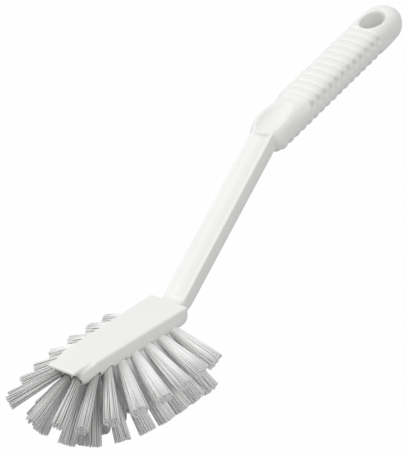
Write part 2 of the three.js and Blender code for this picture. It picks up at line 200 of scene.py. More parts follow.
class TuftSizes(bpy.types.PropertyGroup):
    """Where the tufts stand and what their filaments measure. Real ones are finer and more numerous"""

    rows: count("Side rows", "Tufts in a row down each side", 7)
    first: length("First tuft", "From the head's back to the first side tuft", 8.5)
    from_front: length("Last tuft", "From the front of the shoulders to the last side tuft", 8)
    outer_splay: angle("Outer splay", "Lean of the outer row from straight down", 64)
    outer_seat: angle("Outer seat", "Place of the outer row round the flank", 53)
    outer_long: length("Outer length", "Length of the outer tufts", 25.5)
    back_long: length("Back length", "Length of the outer tufts at the back", 23)
    back_turn: angle("Back turn", "Backward turn of the outer tufts at the back", 8)
    middle_splay: angle("Middle splay", "Lean of the middle row from straight down", 40)
    middle_seat: angle("Middle seat", "Place of the middle row round the flank", 15)
    middle_ahead: ratio("Middle ahead", "Pitches from an outer tuft forward to its middle tuft", 0.3)
    middle_back: angle("Middle back lean", "Backward turn of the middle row", 22)
    middle_long: length("Middle length", "Length of the middle tufts", 31.5)
    front_middle_long: length("Front middle length", "Length of the middle tufts at their front end", 28)
    centre_rows: count("Centre rows", "Tufts in the row down the centre", 6)
    centre_lean: angle("Centre lean", "Forward lean of the centre row's front tuft", 18)
    centre_long: length("Centre length", "Height of the centre row", 32)
    wall_from_front: length("Front wall, along", "From the shoulders' front to the front tufts", 0.3)
    wall_drop: length("Front wall, down", "Front tufts' seats, below the head's top", 6.4)
    side_y: length("Front side, across", "Front side tufts, from the middle line", 5)
    front_splay: angle("Front splay", "Lean of the front tip and front side tufts", 66)
    front_turn: angle("Front turn", "Turn of the front side tufts from sideways", 64.5)
    front_swing: angle("Front swing", "Swing of the front tufts to one side", 8)
    inner_from_front: length("Front inner, along", "From the shoulders' front to the inner tufts", 6.5)
    inner_y: length("Front inner, across", "Front inner tufts, from the middle line", 4)
    inner_splay: angle("Front inner splay", "Lean of the front inner tufts", 30)
    inner_turn: angle("Front inner turn", "Turn of the front inner tufts from sideways", 74)
    inner_swing: angle("Front inner swing", "Swing of the front inner tufts to one side", 14)
    side_long: length("Front side length", "Length of the front side tufts", 23.5)
    inner_long: length("Front inner length", "Length of the front inner tufts", 27)
    turn_curve: exponent("Turn curve", "Power of the turn from sideways to straight ahead", 1.5)
    hole_radius: length("Hole radius", "Radius of a tuft hole", 2.05)
    front_hole_radius: length("Front hole radius", "Radius of a tuft hole at the front", 2.15)
    hole_depth: length("Hole depth", "Depth of a tuft hole", 5.5)
    root_radius: length("Root radius", "Radius of a tuft at its hole", 1.9)
    front_root_radius: length("Front root radius", "Radius of a front tuft at its hole", 1.4)
    root_depth: length("Root depth", "How deep the filaments stand in the hole", 4.5)
    tip_radius: length("Tip radius", "Radius of a tuft at its cut end", 3.9)
    front_tip_radius: length("Front tip radius", "Radius of a front tuft at its cut end", 2.9)
    filaments: count("Filaments", "Filaments in a tuft", 110)
    thick: length("Filament thickness", "Thickness of a filament", 0.54)
    front_filaments: count("Front filaments", "Filaments in a front tuft", 44)
    front_thick: length("Front filament thickness", "Thickness of a filament at the front", 0.46)
    skin: ratio("Skin", "Share of the filaments round a tuft's edge", 0.55)
    front_skin: ratio("Front skin", "Share of the filaments round a front tuft's edge", 0.3)
    spread: exponent("Spread", "Power of the spread along a tuft, 1 for a straight cone", 0.8)
    bend: length("Bend", "How far a filament bows out of line", 0.1)
    stray: length("Stray", "How far a filament's tip strays from its place", 0.18)
    uneven: length("Uneven cut", "How much the cut ends differ in length", 0.3)
    dull: ratio("Dull share", "How dull the dullest filaments are", 0.11)
    # Darker front tufts: partly filaments dull at random, partly painted shade where the front lies in
    # shade
    front_dull_and_painted_shade: ratio("Front dull share", "How dull the dullest filaments at the front are", 0.38)
    # Painted shade: the front tufts darken towards their roots, where shade falls under the head
    painted_root_shade: ratio("Dull roots", "How dull the front tufts are at their roots", 0.6)
    # Painted shade: the front's inner tufts are darker, as they lie in shade behind the outer ones
    painted_inner_shade: ratio("Dull inner tufts", "How much duller the inner tufts of the front are", 0.6)
    seed: count("Seed", "Start of the random draws", 7)


class Finishes(bpy.types.PropertyGroup):
    """Colours of the materials and the floor"""

    moulding: colour("Moulding", "White polypropylene of the handle", "EAEAE8")
    filament: colour("Filament", "White PBT of the bristles", "FDFDFC")
    # Dull colour for filaments that are dull at random and for the painted shade on the front tufts
    filament_dull_and_painted_shade: colour("Dull filament", "Darker filaments among the white ones", "6E6E6C")
    steel: colour("Steel", "Staple plates", "B9BCC0")
    floor: colour("Floor", "Floor under the brush", "B4B4B4")


class StageSettings(bpy.types.PropertyGroup):
    """Camera, lamps and background light"""

    eye: FloatVectorProperty(name="Eye", description="Place of the camera", subtype="TRANSLATION",
                             unit="LENGTH", default=(-0.7754, -0.5576, 0.5298))
    azimuth: angle("Azimuth", "Turn of the view from looking along +Y", -53.66)
    elevation: angle("Elevation", "Height of the view above level", 26.15)
    focal_pixels: FloatProperty(name="Focal length", default=2400, subtype="PIXEL",
                                description="Focal length in pixels of the image")
    sky: ratio("Sky", "Strength of the even light from all round", 0.556)
    key: watts("Key lamp", "Power of the lamp at the upper left", 10.8)
    fill: watts("Fill lamp", "Power of the lamp on the right", 4.8)
    floor_shade: ratio("Floor shade", "Share of the floor's own shade that the camera sees", 0.012)


class BrushSettings(bpy.types.PropertyGroup):
    """All settings of the brush"""

    head: PointerProperty(type=HeadSizes)
    neck: PointerProperty(type=NeckSizes)
    grip: PointerProperty(type=GripSizes)
    tufts: PointerProperty(type=TuftSizes)
    finish: PointerProperty(type=Finishes)
    stage: PointerProperty(type=StageSettings)


# Curves and shares

def clamp(value):
    return min(max(value, 0.0), 1.0)


def mix(a, b, share):
    return a + (b - a) * share


def ease(share):
    """A soft step from 0 to 1."""
    share = clamp(share)
    return share * share * (3 - 2 * share)


def round_off(share, squareness):
    """Falls from 1 to 0 along a quarter of a rounded square."""
    return (1 - clamp(share) ** squareness) ** (1 / squareness)


def round_edge(distance, radius):
    """How far a rounded edge lies inside its corner, at a distance from the end."""
    return radius - math.sqrt(max(radius ** 2 - max(radius - distance, 0) ** 2, 0))


def end_stops(steps):
    """Shares from 0 to 1, closer together towards 0, for stations round an edge."""
    return [1 - math.cos(k / steps * math.pi / 2) for k in range(steps + 1)]


def full_turn(steps):
    """Angles of even steps round a circle."""
    return [k / steps * 2 * math.pi for k in range(steps)]


def heading(rise):
    return Vector((math.cos(rise), 0, math.sin(rise)))


def upward(rise):
    return Vector((-math.sin(rise), 0, math.cos(rise)))


# Meshes and objects

def draw_out(bm, starts, sides, steps, where):
    """Sets a disc at each start and draws them all out; where(start, step, corner) gives a point."""
    start_of = bm.verts.layers.int.new("start")
    corner_of = bm.verts.layers.int.new("corner")
    for start in range(starts):
        ring = bmesh.ops.create_circle(bm, cap_ends=True, segments=sides, radius=MM)["verts"]
        for corner, vert in enumerate(ring):
            vert[start_of] = start
            vert[corner_of] = corner
    faces = bm.faces[:]
    for step in range(steps):
        if step:
            grown = bmesh.ops.extrude_face_region(bm, geom=faces)["geom"]
            if step > 1:
                bmesh.ops.delete(bm, geom=faces, context="FACES_ONLY")
            faces = [item for item in grown if isinstance(item, bmesh.types.BMFace)]
        for face in faces:
            for vert in face.verts:
                vert.co = where(vert[start_of], step, vert[corner_of])
    bmesh.ops.recalc_face_normals(bm, faces=bm.faces[:])


def as_object(bm, name):
    """Turns a finished bmesh into a smooth-shaded object."""
    for face in bm.faces:
        face.smooth = True
    mesh = bpy.data.meshes.new(name)
    bm.to_mesh(mesh)
    bm.free()
    piece = bpy.data.objects.new(name, mesh)
    bpy.context.scene.collection.objects.link(piece)
    return piece


def swept(name, rings):
    """A closed solid through a row of rings, each a list of the same number of points."""
    bm = bmesh.new()
    draw_out(bm, 1, len(rings[0]), len(rings), lambda _, step, corner: rings[step][corner])
    return as_object(bm, name)


def bake(piece):
    """Applies a piece's modifiers to its mesh."""
    graph = bpy.context.evaluated_depsgraph_get()
    mesh = bpy.data.meshes.new_from_object(piece.evaluated_get(graph))
    piece.modifiers.clear()
    piece.data = mesh


def soften(piece, name, passes, group=""):
    """Evens out a piece, or only a group of its points."""
    smooth = piece.modifiers.new(name, "SMOOTH")
    smooth.vertex_group = group
    smooth.factor = 0.5
    smooth.iterations = passes
    bake(piece)


def combine(piece, others, operation):
    """Joins other solids to a piece or cuts them from it, and removes them."""
    for other in others:
        modifier = piece.modifiers.new(other.name, "BOOLEAN")
        modifier.operation = operation
        modifier.solver = "MANIFOLD"
        modifier.object = other
    bake(piece)
    for other in others:
        bpy.data.objects.remove(other)


def paint(piece, material):
    piece.data.materials.clear()
    piece.data.materials.append(material)


def dress(piece, material):
    """Gives a piece its material and its ride."""
    paint(piece, material)
    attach(piece, "root")


# Head

def front_share(head, x):
    return clamp((x - head.long + head.front_curve) / head.front_curve)


def head_half(head, x):
    """Half the width of the head at a distance from its back."""
    straight = head.long - head.front_curve
    side = mix(head.back_width, head.front_width, clamp(x / straight)) / 2
    return mix(head.lip_width / 2, side, round_off(front_share(head, x), 2))


def head_depth(head, x):
    """Depth of the underside below the flat top, at a distance from the back."""
    under_back = round_off(1 - (x + head.back_bulge) / head.back_curve, 2)
    depth = mix(head.back_height, head.deep, under_back)
    return mix(head.lip_thick, depth, round_off(front_share(head, x), head.front_fullness))


def flank_radius(head, x):
    return min(head.flank_radius, head_depth(head, x) / 2)


def on_head(head, x, y, z):
    """A point in the frame from a distance in front of the back, across, and above the flat top."""
    return Vector((head.back_x - x, y, head.top_z + z))


CORNER_STEPS = 8
# Largest shares of a thin section's height that its lower and its upper corners take
LOW_CORNER = 0.55
TOP_CORNER = 0.4


def rounded_section(half, top, low, top_radius, low_radius):
    """Points (across, up) of a section with a flat top and rounded corners."""
    points = []
    corners = [(1, top, -top_radius, top_radius, 90), (1, low, low_radius, low_radius, 0),
               (-1, low, low_radius, low_radius, -90), (-1, top, -top_radius, top_radius, 180)]
    for side, level, shift, radius, start in corners:
        for step in range(CORNER_STEPS + 1):
            turn = math.radians(start - 90 * step / CORNER_STEPS)
            across = side * (half - radius) + radius * math.cos(turn)
            points.append((across, level + shift + radius * math.sin(turn)))
    return points


def head_rings(head):
    """Sections of the head from its back to the front of the shoulders."""
    back = [head.back_radius * share - head.back_bulge for share in end_stops(8)]
    under = [mix(back[-1], head.back_curve, share) for share in end_stops(10)]
    front = [head.long - head.front_curve * share for share in reversed(end_stops(16))]
    rings = []
    for x in back + under[1:] + front:
        inset = round_edge(x + head.back_bulge, head.back_radius)
        dip = head.dip * clamp((x - head.long + head.dip_long) / head.dip_long)
        top = -dip - inset
        low = inset - max(head_depth(head, x), dip + head.edge_radius)
        low_radius = min(flank_radius(head, x), (top - low) * LOW_CORNER)
        edge = min(head.edge_radius, (top - low) * TOP_CORNER)
        section = rounded_section(head_half(head, x) - inset, top, low, edge, low_radius)
        rings.append([on_head(head, x, y, z) for y, z in section])
    return rings


def lip_rings(head):
    """Sections of the lip, from inside the head to its straight front edge."""
    end = head.long + head.lip_reach
    stops = [head.lip_back + head.lip_corner * share for share in end_stops(8)]
    stops += [end - head.lip_edge * share for share in reversed(end_stops(6))]
    rings = []
    for x in stops:
        inset = round_edge(end - x, head.lip_edge)
        half = head.lip_width / 2 - inset - round_edge(x - head.lip_back, head.lip_corner)
        section = rounded_section(half, -inset, inset - head.lip_thick, head.lip_edge, head.lip_edge)
        rings.append([on_head(head, x, y, z) for y, z in section])
    return rings


# Neck and grip

OVAL_POINTS = 160
# Sine of the turn below its sides at which a section starts to change to its upper width
SIDE_BLEND = 0.55


def oval_ring(centre, rise, halves, reaches, squareness, sink=None):
    """A rounded section square to a line, with upper and lower sizes; sink(turn) draws its points in."""
    points = []
    for turn in full_turn(OVAL_POINTS):
        across = math.copysign(abs(math.cos(turn)) ** (2 / squareness), math.cos(turn))
        height = math.copysign(abs(math.sin(turn)) ** (2 / squareness), math.sin(turn))
        reach = reaches[0] if height > 0 else reaches[1]
        half = mix(halves[1], halves[0], ease(math.sin(turn) + SIDE_BLEND))
        flat = Vector((across * half, height * reach))
        if sink:
            flat -= flat.normalized() * sink(turn)
        points.append(centre + upward(rise) * flat.y + Vector((0, flat.x, 0)))
    return points


def neck_point(head, neck, along):
    """A point on the neck's middle line, at a distance up its slope."""
    return on_head(head, -neck.foot_x, 0, 0) + heading(neck.rise) * along


def neck_crown(neck, half, amount):
    """How far the ridge and the rims of the neck's top stand out, as a function of the turn round it."""
    def sink(turn):
        if math.sin(turn) <= 0:
            return 0
        across = half * abs(math.cos(turn)) ** (2 / neck.squareness)
        ridge = neck.crown * (1 - clamp(across / neck.rim_place))
        rim = neck.rim * (1 - ease(abs(across - neck.rim_place) / neck.rim_width))
        return -(ridge + rim) * amount

    return sink


# Sections in each part of the neck, and how far it reaches into the grip
ROOT_STEPS = 8
BEND_STEPS = 24
SLOPE_STEPS = 12
GRIP_OVERLAP = 6 * MM


def neck_rings(head, neck):
    """Sections of the neck, from its root inside the head to inside the grip."""
    start = on_head(head, neck.root_overlap, 0, -neck.root_depth)
    bend = on_head(head, neck.root_depth / math.tan(neck.rise) - neck.foot_x, 0, -neck.root_depth)
    bend_start = bend - heading(0) * neck.root_bend
    end = bend + heading(neck.rise) * neck.root_bend
    top = neck_point(head, neck, neck.long + GRIP_OVERLAP)
    rings = []

    def add(centre, rise, half, thick, amount):
        reaches = (thick / 2, thick / 2)
        crown = neck_crown(neck, half, amount)
        rings.append(oval_ring(centre, rise, (half, half), reaches, neck.squareness, crown))

    for step in range(-ROOT_STEPS, BEND_STEPS):
        share = max(step / BEND_STEPS, 0)
        centre = bend_start.lerp(bend, share).lerp(bend.lerp(end, share), share)
        if step < 0:
            centre = bend_start.lerp(start, step / -ROOT_STEPS)
        way = (bend - bend_start).lerp(end - bend, share)
        half = neck.low_width / 2 + round_edge(centre.x - head.back_x, neck.fillet)
        thick = mix(neck.root_thick, neck.low_thick, share)
        add(centre, math.atan2(way.z, way.x), half, thick, ease(share))
    for step in range(SLOPE_STEPS + 1):
        share = step / SLOPE_STEPS
        half = mix(neck.low_width, neck.high_width, share) / 2
        add(end.lerp(top, share), neck.rise, half, mix(neck.low_thick, neck.high_thick, share), 1)
    return rings


def grip_point(head, neck, grip, along):
    """A point on the grip's middle line, at a distance from its nose."""
    top = neck_point(head, neck, neck.long)
    return top + Vector((0, 0, grip.offset)) + heading(grip.rise) * along


def rib_sink(grip, along):
    """How far the ribs draw in the grip's section at a place, as a function of the turn round it."""
    place = (along - grip.groove_first) / grip.groove_pitch
    nearest = min(max(round(place), 0), grip.groove_count - 1)
    from_groove = abs(place - nearest) * grip.groove_pitch
    inside = -grip.scallop_extra - 0.5 < place < grip.groove_count - 0.5
    from_swell = abs(place - math.floor(place) - 0.5) * 2
    scallop = grip.scallop_depth * from_swell ** 2 if inside else 0
    waist_end = grip.groove_first - grip.groove_pitch / 2
    waist = grip.waist * ease((along - grip.waist_start) / (waist_end - grip.waist_start))
    waist *= 1 - ease((along - waist_end) / (grip.groove_pitch / 4))

    def sink(turn):
        lean = math.asin(abs(math.sin(turn)))
        if math.sin(turn) < 0:
            return scallop * ease((lean - grip.scallop_high) / grip.scallop_high / 2)
        shoulder = ease((grip.dimple_high - lean) / (grip.dimple_high - grip.dimple_deep))
        ending = ease((lean - grip.dimple_low) / grip.dimple_low / 2)
        reach = mix(grip.groove_width, grip.dimple_width, shoulder) / 2
        depth = mix(grip.groove_depth, grip.dimple_depth, shoulder) * ending
        return depth * (1 - ease(from_groove / reach)) + waist * ease(lean / grip.dimple_high)

    return sink


# Distance from section to section along the ribs, and from the last section to the very end
GRIP_STEP = 0.35 * MM
END_GAP = 0.01 * MM


def grip_rings(head, neck, grip):
    """Sections of the grip from its nose to its round end."""
    end_start = grip.long - grip.end_curve
    stops = [grip.nose_long * share for share in end_stops(20)]
    steps = int((end_start - grip.nose_long) / GRIP_STEP)
    stops += [grip.nose_long + k * GRIP_STEP for k in range(1, steps)]
    stops += [grip.long - grip.end_curve * share for share in reversed(end_stops(24))][:-1]
    stops.append(grip.long - END_GAP)
    last_groove = grip.groove_first + (grip.groove_count - 0.5) * grip.groove_pitch
    rings = []
    for along in stops:
        nose = round_off(1 - along / grip.nose_long, grip.nose_fullness)
        under = round_off(1 - along / grip.nose_under, grip.under_fullness)
        end_width = round_off((along - grip.long + grip.end_curve) / grip.end_curve, 2)
        end_height = round_off((along - grip.long + grip.end_round) / grip.end_round, 2)
        land = grip.land * ease((along - last_groove) / grip.groove_pitch)
        swells = (nose, under)
        halves = [(mix(grip.nose_width, grip.width, share) / 2 + land) * end_width for share in swells]
        reaches = [(mix(grip.nose_thick, grip.thick, share) / 2 + land) * end_height for share in swells]
        centre = grip_point(head, neck, grip, along)
        sink = rib_sink(grip, along)
        rounding = ease((along - last_groove) / (grip.long - last_groove))
        squareness = mix(grip.squareness, grip.end_squareness, rounding)
        rings.append(oval_ring(centre, grip.rise, halves, reaches, squareness, sink))
    return rings


# Hollows cut from the moulding

def sloped(rise, point):
    """Turns a shape's +X up a slope and sets it at a point."""
    turn = Matrix((heading(rise), Vector((0, 1, 0)), upward(rise))).transposed().to_4x4()
    return Matrix.Translation(point) @ turn


def dish_rim(head, neck, grip):
    """Where the lower rim of the dish lies."""
    return grip_point(head, neck, grip, grip.dish_start) + upward(grip.rise) * grip.dish_level


def dish_cutter(head, neck, grip):
    """A stretched ball whose cap hollows the thumb dish."""
    lift = grip.dish_curve - grip.dish_sink
    stretch = grip.dish_long / 2 / math.sqrt(1 - (lift / grip.dish_curve) ** 2)
    centre = dish_rim(head, neck, grip)
    centre += heading(grip.dish_rise) * grip.dish_long / 2 + upward(grip.dish_rise) * lift
    bm = bmesh.new()
    bmesh.ops.create_uvsphere(bm, u_segments=96, v_segments=64, radius=1)
    scale = Matrix.Diagonal((stretch, grip.dish_half, grip.dish_curve, 1))
    bmesh.ops.transform(bm, matrix=sloped(grip.dish_rise, centre) @ scale, verts=bm.verts[:])
    return as_object(bm, "dish_cutter")


# Steps round a rim, and the distance within which points are one
RIM_STEPS = 8
WELD = 0.001 * MM


def hang_hole_cutter(head, neck, grip):
    """A spool that bores the hang hole and rounds both of its rims."""
    half = grip.thick / 2 + grip.land
    radius = grip.hole_round
    bore = grip.hole_width / 2
    profile = [(0, half + radius), (bore + radius, half + radius)]
    for step in range(RIM_STEPS + 1):
        turn = step / RIM_STEPS * math.pi / 2
        profile.append((bore + radius * (1 - math.sin(turn)), half - radius + radius * math.cos(turn)))
    profile += [(across, -up) for across, up in reversed(profile)]
    bm = bmesh.new()
    verts = [bm.verts.new((across, 0, up)) for across, up in profile]
    edges = [bm.edges.new(pair) for pair in zip(verts, verts[1:])]
    bmesh.ops.spin(bm, geom=verts + edges, cent=(0, 0, 0), axis=(0, 0, 1), dvec=(0, 0, 0),
                   angle=2 * math.pi, steps=72, use_merge=True)
    bmesh.ops.remove_doubles(bm, verts=bm.verts[:], dist=WELD)
    bmesh.ops.recalc_face_normals(bm, faces=bm.faces[:])
    centre = grip_point(head, neck, grip, grip.long - grip.hole_from_end)
    stretch = Matrix.Diagonal((grip.hole_long / grip.hole_width, 1, 1, 1))
    bmesh.ops.transform(bm, matrix=sloped(grip.rise, centre) @ stretch, verts=bm.verts[:])
    return as_object(bm, "hang_hole_cutter")


BEAD_STEPS = 12
BEAD_SIDES = 16
# Share of the bead's radius that is left at its ends
BEAD_END = 0.1


def dish_lip_rings(head, neck, grip):
    """A thin bead across the top of the neck, at the lower end of the dish."""
    top = neck_point(head, neck, neck.long + grip.dish_lip_place)
    rings = []
    for step in range(2 * BEAD_STEPS + 1):
        share = step / BEAD_STEPS - 1
        across = share * grip.dish_lip_half
        level = neck.high_thick / 2 * round_off(abs(across) / neck.high_width * 2, neck.squareness)
        level += neck.crown * (1 - clamp(abs(across) / neck.rim_place))
        centre = top + heading(neck.rise) * grip.dish_lip_sag * share ** 2 + upward(neck.rise) * level
        centre.y = across
        radius = grip.dish_lip * max(round_off(abs(share), 3), BEAD_END)
        ring = []
        for turn in full_turn(BEAD_SIDES):
            out = upward(neck.rise) * radius * math.sin(turn)
            ring.append(centre + heading(neck.rise) * radius * math.cos(turn) + out)
        rings.append(ring)
    return rings


# Where the softening starts and stops along the dish and below it, and how long it takes to fade
SOFT_FROM = 2 * MM
SOFT_TO = 3 * MM
SOFT_BELOW = 4 * MM
SOFT_FADE = 3 * MM
SOFT_RISE = 2 * MM


def soften_dish(piece, head, neck, grip):
    """Softens the rim of the dish, most in its middle and fading out around it."""
    start = dish_rim(head, neck, grip)
    along = heading(grip.dish_rise)
    out = upward(grip.dish_rise)
    group = piece.vertex_groups.new(name="dish")
    for vert in piece.data.vertices:
        away = vert.co - start
        share = min((away @ along - SOFT_FROM) / SOFT_FADE,
                    (grip.dish_long - SOFT_TO - away @ along) / SOFT_FADE,
                    (away @ out + SOFT_BELOW) / SOFT_RISE)
        if share > 0:
            group.add([vert.index], ease(share), "REPLACE")
    soften(piece, "soft_dish", grip.dish_soft, group.name)
    piece.vertex_groups.clear()


# Tufts

class Tuft:
    """One tuft: where it stands and points, its length, and whether it is a front or an inner one."""

    def __init__(self, seat, splay, turn, side, long, front, inner=0):
        plan = Vector((-math.sin(turn), side * math.cos(turn), 0))
        self.seat = seat
        self.direction = plan * math.sin(splay) - Vector((0, 0, math.cos(splay)))
        self.across = Vector((-plan.y, plan.x, 0))
        self.flat = self.direction.cross(self.across)
        self.long = long
        self.front = front
        self.inner = inner

    def point(self, across, flat, along):
        return self.seat + self.across * across + self.flat * flat + self.direction * along


def flank_seat(head, x, side, seat):
    radius = flank_radius(head, x)
    y = head_half(head, x) - radius + radius * math.sin(seat)
    return on_head(head, x, side * y, radius - head_depth(head, x) - radius * math.cos(seat))


def bottom_seat(head, x, y):
    return on_head(head, x, y, -head_depth(head, x))


# Rows over which the tufts change from those at the back, and then to those at the front
BACK_ROWS = 4
FRONT_FROM = 3
FRONT_ROWS = 4
# Pitches by which the rows are staggered
MIDDLE_STAGGER = 0.5
CENTRE_STAGGER = 0.45
# How much the front inner tufts are like the other front ones
INNER_FRONT = 0.5


def tuft_layout(head, tufts):
    """All tufts: outer and middle rows down both sides and round the front, and a centre row."""
    pitch = (head.long - tufts.from_front - tufts.first) / (tufts.rows - 1)
    front = tufts.rows + 1
    wall_x = head.long - tufts.wall_from_front

    def row_x(row):
        return tufts.first + row * pitch

    def front_at(row):
        return ease((row - FRONT_FROM) / FRONT_ROWS)

    def turn_at(row, side):
        swing = tufts.front_swing * front_at(row) * side
        return math.pi / 2 * max(row / front, 0) ** tufts.turn_curve - swing

    found = []
    for side in (1, -1):
        for row in range(tufts.rows):
            share = front_at(row)
            back = 1 - ease(row / BACK_ROWS)
            seat = flank_seat(head, row_x(row), side, tufts.outer_seat)
            turn = turn_at(row, side) - tufts.back_turn * back
            long = mix(tufts.outer_long, tufts.back_long, back)
            found.append(Tuft(seat, tufts.outer_splay, turn, side, long, share))
            place = row + mix(tufts.middle_ahead, -MIDDLE_STAGGER, share)
            seat = flank_seat(head, row_x(place), side, tufts.middle_seat)
            turn = turn_at(row - MIDDLE_STAGGER, side) - tufts.middle_back * (1 - share)
            long = mix(tufts.middle_long, tufts.front_middle_long, share)
            found.append(Tuft(seat, tufts.middle_splay, turn, side, long, share, inner=1))
        seat = on_head(head, wall_x, side * tufts.side_y, -tufts.wall_drop)
        turn = tufts.front_turn - tufts.front_swing * side
        found.append(Tuft(seat, tufts.front_splay, turn, side, tufts.side_long, 1))
        seat = bottom_seat(head, head.long - tufts.inner_from_front, side * tufts.inner_y)
        turn = tufts.inner_turn - tufts.inner_swing * side
        found.append(Tuft(seat, tufts.inner_splay, turn, side, tufts.inner_long, INNER_FRONT, inner=1))
    seat = on_head(head, wall_x, 0, -tufts.wall_drop)
    found.append(Tuft(seat, tufts.front_splay, math.pi / 2, 1, tufts.outer_long, 1))
    for row in range(tufts.centre_rows):
        lean = tufts.centre_lean * row / (tufts.centre_rows - 1)
        long = tufts.centre_long / math.cos(lean) + tufts.tip_radius * math.tan(lean)
        seat = bottom_seat(head, row_x(row - CENTRE_STAGGER), 0)
        found.append(Tuft(seat, lean, math.pi / 2, 1, long, 0))
    return found


HOLE_SIDES = 24


def tuft_hole_cutters(head, tufts):
    """A round peg for each blind hole."""
    pegs = []
    for number, tuft in enumerate(tuft_layout(head, tufts)):
        radius = mix(tufts.hole_radius, tufts.front_hole_radius, tuft.front)
        rings = [[tuft.point(radius * math.cos(turn), radius * math.sin(turn), along)
                  for turn in full_turn(HOLE_SIDES)] for along in (-tufts.hole_depth, tufts.hole_radius)]
        pegs.append(swept(f"tuft_hole_{number}", rings))
    return pegs


# Sides of a filament, and the shares of its length at which its points lie
FILAMENT_SIDES = 5
FILAMENT_STOPS = (0.0, 0.16, 0.25, 0.4, 0.65, 1.0)
GOLDEN_ANGLE = math.pi * (3 - math.sqrt(5))
# Shares of a tuft's radius: where its skin starts and where its core ends
SKIN_FROM = 0.92
CORE_TO = 0.85
# How far a filament may leave its even place: in spaces round the skin, and in radians in the core
SKIN_DRIFT = 0.25
CORE_DRIFT = 0.4
# Share of the length over which the painted shade at the roots fades out
ROOT_FADE = 0.75
# How far above the floor the lowest filaments are cut
FLOOR_GAP = 0.02 * MM


def filament_count(tuft, tufts):
    return round(mix(tufts.filaments, tufts.front_filaments, tuft.front))


class Filament:
    """One filament: where it stands in its tuft, how it bows and where it is cut."""

    def __init__(self, tuft, number, tufts, draw):
        filaments = filament_count(tuft, tufts)
        skin = round(filaments * mix(tufts.skin, tufts.front_skin, tuft.front))
        share = draw.uniform(SKIN_FROM, 1)
        turn = (number + draw.uniform(-SKIN_DRIFT, SKIN_DRIFT)) / skin * 2 * math.pi
        if number >= skin:
            share = CORE_TO * math.sqrt((number - skin + 0.5) / (filaments - skin))
            turn = number * GOLDEN_ANGLE + draw.uniform(-CORE_DRIFT, CORE_DRIFT)
        self.tuft = tuft
        root_radius = mix(tufts.root_radius, tufts.front_root_radius, tuft.front)
        self.root = Vector((math.cos(turn), math.sin(turn))) * share * root_radius
        tip_radius = mix(tufts.tip_radius, tufts.front_tip_radius, tuft.front)
        self.tip = self.root * (tip_radius / root_radius)
        self.tip += Vector((draw.gauss(0, tufts.stray), draw.gauss(0, tufts.stray)))
        self.bow = Vector((draw.gauss(0, tufts.bend), draw.gauss(0, tufts.bend)))
        self.depth = tufts.root_depth
        self.spread = mix(tufts.spread, 1, tuft.front)
        self.radius = mix(tufts.thick, tufts.front_thick, tuft.front) / 2
        self.long = tuft.long + draw.uniform(-tufts.uneven, tufts.uneven)
        end = tuft.point(self.tip.x, self.tip.y, self.long)
        if end.z < FLOOR_GAP:
            self.long -= (FLOOR_GAP - end.z) / -tuft.direction.z
        # Filaments are dull at random; the front tufts are darker still as painted shade, most in the
        # inner tufts and at the roots
        dullest_and_painted_shade = mix(tufts.dull, tufts.front_dull_and_painted_shade, tuft.front)
        self.shade = mix(tuft.front / 2, 1, draw.random()) * dullest_and_painted_shade
        # Painted shade: the front's inner tufts are made darker
        self.shade *= 1 + tufts.painted_inner_shade * tuft.inner * tuft.front
        # Painted shade at the roots of the front tufts, deepest in the inner ones
        self.root_shade = mix(self.shade, mix(tufts.painted_root_shade, 1, tuft.inner), tuft.front)

    def shade_at(self, place):
        """How dark the filament is at a place: the front tufts carry painted shade, darkest at their
        roots.
        """
        along = (place - self.tuft.seat) @ self.tuft.direction
        return mix(self.root_shade, self.shade, ease(along / self.long / ROOT_FADE))

    def point(self, step, corner):
        along = mix(-self.depth, self.long, FILAMENT_STOPS[step])
        out = clamp(along / self.long)
        middle = self.root.lerp(self.tip, out ** self.spread) + self.bow * math.sin(math.pi * out)
        turn = corner / FILAMENT_SIDES * 2 * math.pi
        return self.tuft.point(middle.x + self.radius * math.cos(turn),
                               middle.y + self.radius * math.sin(turn), along)


def bristle_piece(name, layout, tufts, draw):
    """All filaments of some tufts as one mesh, each with its own dullness and painted shade."""
    filaments = [Filament(tuft, number, tufts, draw)
                 for tuft in layout for number in range(filament_count(tuft, tufts))]
    bm = bmesh.new()
    draw_out(bm, len(filaments), FILAMENT_SIDES, len(FILAMENT_STOPS),
             lambda start, step, corner: filaments[start].point(step, corner))
    start_of = bm.verts.layers.int["start"]
    shade = bm.verts.layers.float.new("shade")
    for vert in bm.verts:
        vert[shade] = filaments[vert[start_of]].shade_at(vert.co)
    return as_object(bm, name)


# Materials

def socket(sockets, name):
    """The socket of that name, or number, that the node shows."""
    if isinstance(name, int):
        return sockets[name]
    return next(item for item in sockets if item.name == name and item.enabled)


def add_node(tree, kind, links=(), sockets=(), **settings):
    """Adds a node with its settings and socket values; links give the output that feeds an input."""
    node = tree.nodes.new(kind)
    for name, value in settings.items():
        setattr(node, name, value)
    for name, value in dict(sockets).items():
        socket(node.inputs, name).default_value = value
    for name, output in dict(links).items():
        tree.links.new(output, socket(node.inputs, name))
    return node


def new_material(name):
    material = bpy.data.materials.new(name)
    material.use_nodes = True
    material.node_tree.nodes.clear()
    return material, material.node_tree


def per_metre(millimetres):
    """Pattern scale for a feature of a real size."""
    return 1 / (millimetres * MM)


# Most of a cloudy pattern lies between these values
CLOUD_LOW = 0.3
CLOUD_HIGH = 0.7


def uneven_gloss(tree, millimetres, detail, smooth, rough):
    """A cloudy pattern of a real size, and the roughness that follows it between two values."""
    place = add_node(tree, "ShaderNodeTexCoord").outputs["Object"]
    cloud = add_node(tree, "ShaderNodeTexNoise", {"Vector": place},
                     {"Scale": per_metre(millimetres), "Detail": detail}).outputs[0]
    gloss = add_node(tree, "ShaderNodeMapRange", {"Value": cloud},
                     {"From Min": CLOUD_LOW, "From Max": CLOUD_HIGH, "To Min": smooth, "To Max": rough})
    return cloud, gloss.outputs[0]


# Brightness of the flow marks against the rest of the moulding
FLOW_SHADE = 0.97


